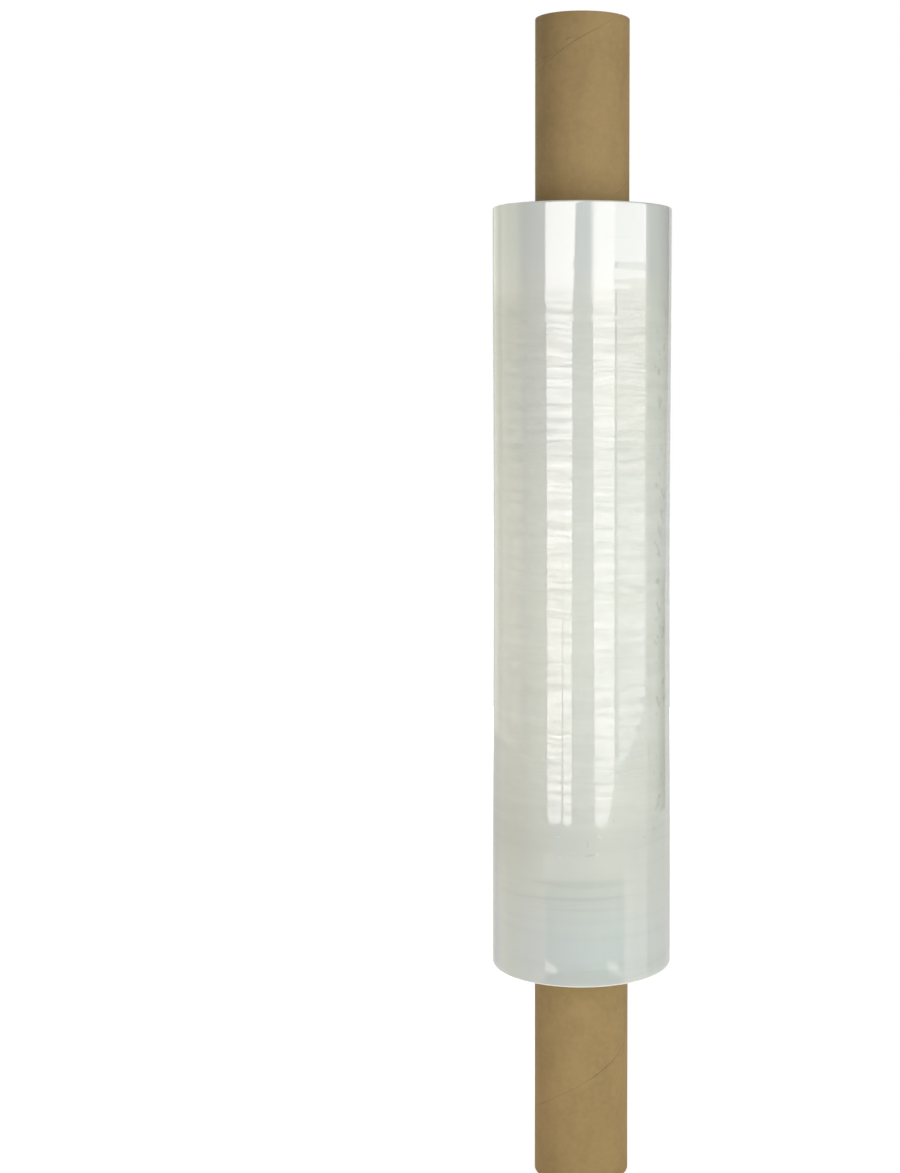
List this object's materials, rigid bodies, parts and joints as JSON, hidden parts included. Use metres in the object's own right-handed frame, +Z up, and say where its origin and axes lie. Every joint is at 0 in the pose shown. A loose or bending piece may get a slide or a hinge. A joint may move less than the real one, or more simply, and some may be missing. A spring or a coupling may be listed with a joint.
{
  "type": "stretch wrap roll",
  "caption": "Roll of clear stretch wrap on a long paper core, whose bare ends are held as grips while the film is unwound round a load.",
  "frame": {"origin": "on the core's axis, at the middle of the lower end that the roll stands on", "axes": "+Z up along the core's axis, -Y towards the front, +X to the right as seen from the front"},
  "size_m": [0.1181, 0.1182, 0.763],
  "materials": {
    "core_paper": "matt brown paper tube",
    "film": "glossy clear film, milky where it is wound"
  },
  "bodies": {
    "root": {"core": "core_paper", "film_roll": "film"}
  },
  "joints": []
}
